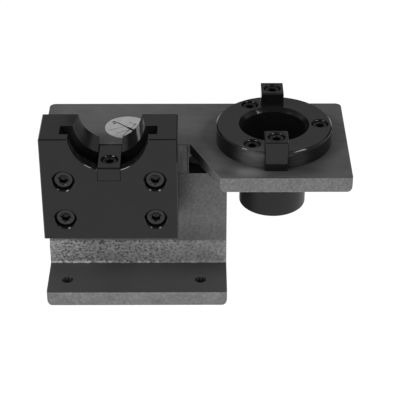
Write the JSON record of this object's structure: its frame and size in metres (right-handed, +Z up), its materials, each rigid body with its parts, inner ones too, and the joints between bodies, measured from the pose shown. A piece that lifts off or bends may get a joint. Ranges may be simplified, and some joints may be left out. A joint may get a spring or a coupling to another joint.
{
  "type": "tool holder tightening fixture",
  "caption": "Bench fixture with a horizontal cradle block and a vertical taper sleeve on one cast bracket, for holding taper-shank tool holders while they are tightened.",
  "frame": {"origin": "centre of the bench bolt pattern, on the underside of the base plate", "axes": "+X to the right, towards the vertical station; +Y to the back, away from the cradle block; +Z up"},
  "size_m": [0.2125, 0.1055, 0.135],
  "materials": {
    "casting": "dark grey, as cast with machined faces",
    "black_steel": "black oxide, satin",
    "screw_steel": "black oxide, slightly oily",
    "label": "matt silver sticker"
  },
  "bodies": {
    "root": {"bracket": "casting", "horizontal_block": "black_steel", "block_key": "black_steel", "block_key_screw": "screw_steel", "block_screw_1": "screw_steel", "block_screw_2": "screw_steel", "block_screw_3": "screw_steel", "block_screw_4": "screw_steel", "taper_sleeve": "black_steel", "front_key": "black_steel", "rear_key": "black_steel", "front_key_screw": "screw_steel", "rear_key_screw": "screw_steel", "ring_screw_1": "screw_steel", "ring_screw_2": "screw_steel", "ring_screw_3": "screw_steel", "label_disc": "label"}
  },
  "joints": []
}
